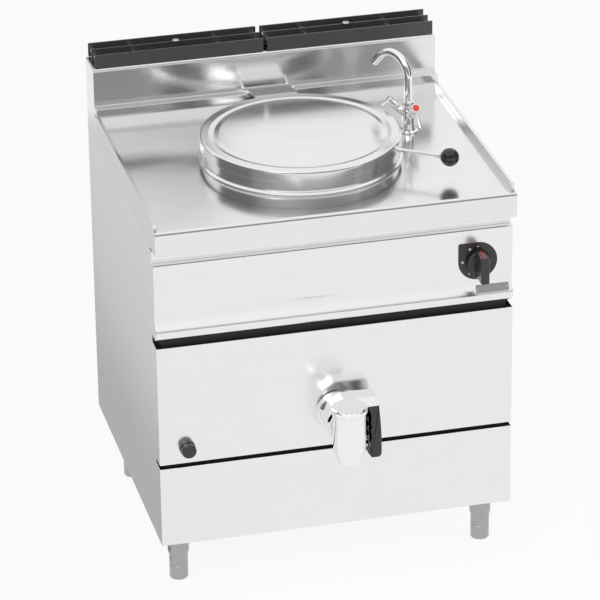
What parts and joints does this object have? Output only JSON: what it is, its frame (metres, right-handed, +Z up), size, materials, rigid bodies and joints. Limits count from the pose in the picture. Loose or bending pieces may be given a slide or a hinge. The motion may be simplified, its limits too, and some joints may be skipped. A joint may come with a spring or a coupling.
{
  "type": "gas boiling kettle",
  "caption": "Free-standing gas boiling kettle with a hinged lid, swan-neck water tap, slatted flue and a quarter-turn drain tap.",
  "frame": {"origin": "floor level under the middle of the overall box", "axes": "+Z up, the front with the drain tap faces -Y, +X to the viewer's right"},
  "size_m": [0.8, 0.854, 1.068],
  "materials": {
    "satin_steel": "fine satin",
    "polished_steel": "mirror polished",
    "dark_channel": "matt black",
    "dark_enamel": "dark grey enamel",
    "bolt_steel": "zinc plated",
    "insulation": "mineral wool",
    "bright_chrome": "bright",
    "brass": "turned",
    "valve_casting": "cast",
    "gas_pipe": "plain",
    "water_pipe": "bare copper alloy",
    "black_phenolic": "black phenolic",
    "black_plate": "black",
    "red_index": "gloss",
    "blue_index": "gloss"
  },
  "bodies": {
    "cabinet": {"base_tray": "satin_steel", "left_side_panel": "satin_steel", "right_side_panel": "satin_steel", "rear_panel": "satin_steel", "lower_front_panel": "satin_steel", "middle_front_panel": "satin_steel", "lower_gap_channel": "dark_channel", "upper_gap_channel": "dark_channel", "control_panel": "satin_steel", "worktop": "polished_steel", "flue_housing": "polished_steel", "flue_duct": "satin_steel", "left_flue_grate": "dark_enamel", "right_flue_grate": "dark_enamel", "grate_bolts": "bolt_steel", "kettle": "satin_steel", "neck_ring": "polished_steel", "heating_jacket": "satin_steel", "jacket_insulation": "insulation", "burner_tubes": "satin_steel", "gas_manifold": "brass", "burner_supports": "satin_steel", "pilot_burner": "satin_steel", "thermocouple": "brass", "gas_valve": "valve_casting", "knob_scale_plate": "black_plate", "gas_inlet_pipe": "gas_pipe", "burner_feed_pipe": "gas_pipe", "igniter_housing": "black_phenolic", "drain_pipe": "satin_steel", "drain_flange": "satin_steel", "drain_tap_body": "bright_chrome", "drain_tap_cap": "bright_chrome", "hinge_bracket": "polished_steel", "hinge_pin": "polished_steel", "water_tap_body": "bright_chrome", "water_nut": "brass", "water_supply_pipes": "water_pipe", "leg_sleeves": "satin_steel"},
    "lid": {"lid_shell": "polished_steel", "lid_hinge_arm": "polished_steel", "lid_handle_rod": "polished_steel", "lid_knob": "black_phenolic"},
    "swan_neck": {"water_spout": "bright_chrome"},
    "cold_handle": {"cold_water_handle": "bright_chrome", "cold_water_index": "blue_index"},
    "hot_handle": {"hot_water_handle": "bright_chrome", "hot_water_index": "red_index"},
    "spindle": {"gas_spindle": "bolt_steel"},
    "knob": {"gas_knob": "black_phenolic"},
    "igniter": {"igniter_button": "black_phenolic"},
    "drain_handle": {"drain_lever": "bright_chrome", "lever_grip": "black_phenolic", "lever_pin": "polished_steel", "drain_plug": "brass"},
    "front_left_leveller": {"front_left_foot": "satin_steel"},
    "front_right_leveller": {"front_right_foot": "satin_steel"},
    "rear_left_leveller": {"rear_left_foot": "satin_steel"},
    "rear_right_leveller": {"rear_right_foot": "satin_steel"}
  },
  "joints": [
    {"name": "lid_hinge", "type": "hinge", "parent": "cabinet", "child": "lid", "pos_m": [0, 0.309, 0.923], "axis": [-1, 0, 0], "range_deg": [0, 95]},
    {"name": "spout_swivel", "type": "hinge", "parent": "cabinet", "child": "swan_neck", "pos_m": [0.266, 0.093, 0.96], "axis": [0, 0, 1], "continuous": true},
    {"name": "cold_turn", "type": "hinge", "parent": "cabinet", "child": "cold_handle", "pos_m": [0.23884, 0.10418, 0.94416], "axis": [0.6789, -0.2796, -0.6789], "range_deg": [0, 90]},
    {"name": "hot_turn", "type": "hinge", "parent": "cabinet", "child": "hot_handle", "pos_m": [0.2688, 0.06258, 0.94282], "axis": [0.0701, -0.7606, 0.6455], "range_deg": [0, 90]},
    {"name": "gas_turn", "type": "hinge", "parent": "cabinet", "child": "spindle", "pos_m": [0.321, -0.285, 0.721], "axis": [0, -1, 0], "range_deg": [0, 150]},
    {"name": "gas_push", "type": "slide", "parent": "spindle", "child": "knob", "axis": [0, 1, 0], "range_m": [0, 0.003], "stiffness_N_per_m": 1500, "springref_m": -0.002},
    {"name": "igniter_push", "type": "slide", "parent": "cabinet", "child": "igniter", "axis": [0, 1, 0], "range_m": [0, 0.006], "stiffness_N_per_m": 1000, "springref_m": -0.003},
    {"name": "drain_turn", "type": "hinge", "parent": "cabinet", "child": "drain_handle", "pos_m": [0, -0.327, 0.4], "axis": [0, -1, 0], "range_deg": [0, 90]},
    {"name": "front_left_levelling", "type": "slide", "parent": "cabinet", "child": "front_left_leveller", "axis": [0, 0, -1], "range_m": [0, 0.03]},
    {"name": "front_right_levelling", "type": "slide", "parent": "cabinet", "child": "front_right_leveller", "axis": [0, 0, -1], "range_m": [0, 0.03]},
    {"name": "rear_left_levelling", "type": "slide", "parent": "cabinet", "child": "rear_left_leveller", "axis": [0, 0, -1], "range_m": [0, 0.03]},
    {"name": "rear_right_levelling", "type": "slide", "parent": "cabinet", "child": "rear_right_leveller", "axis": [0, 0, -1], "range_m": [0, 0.03]}
  ]
}
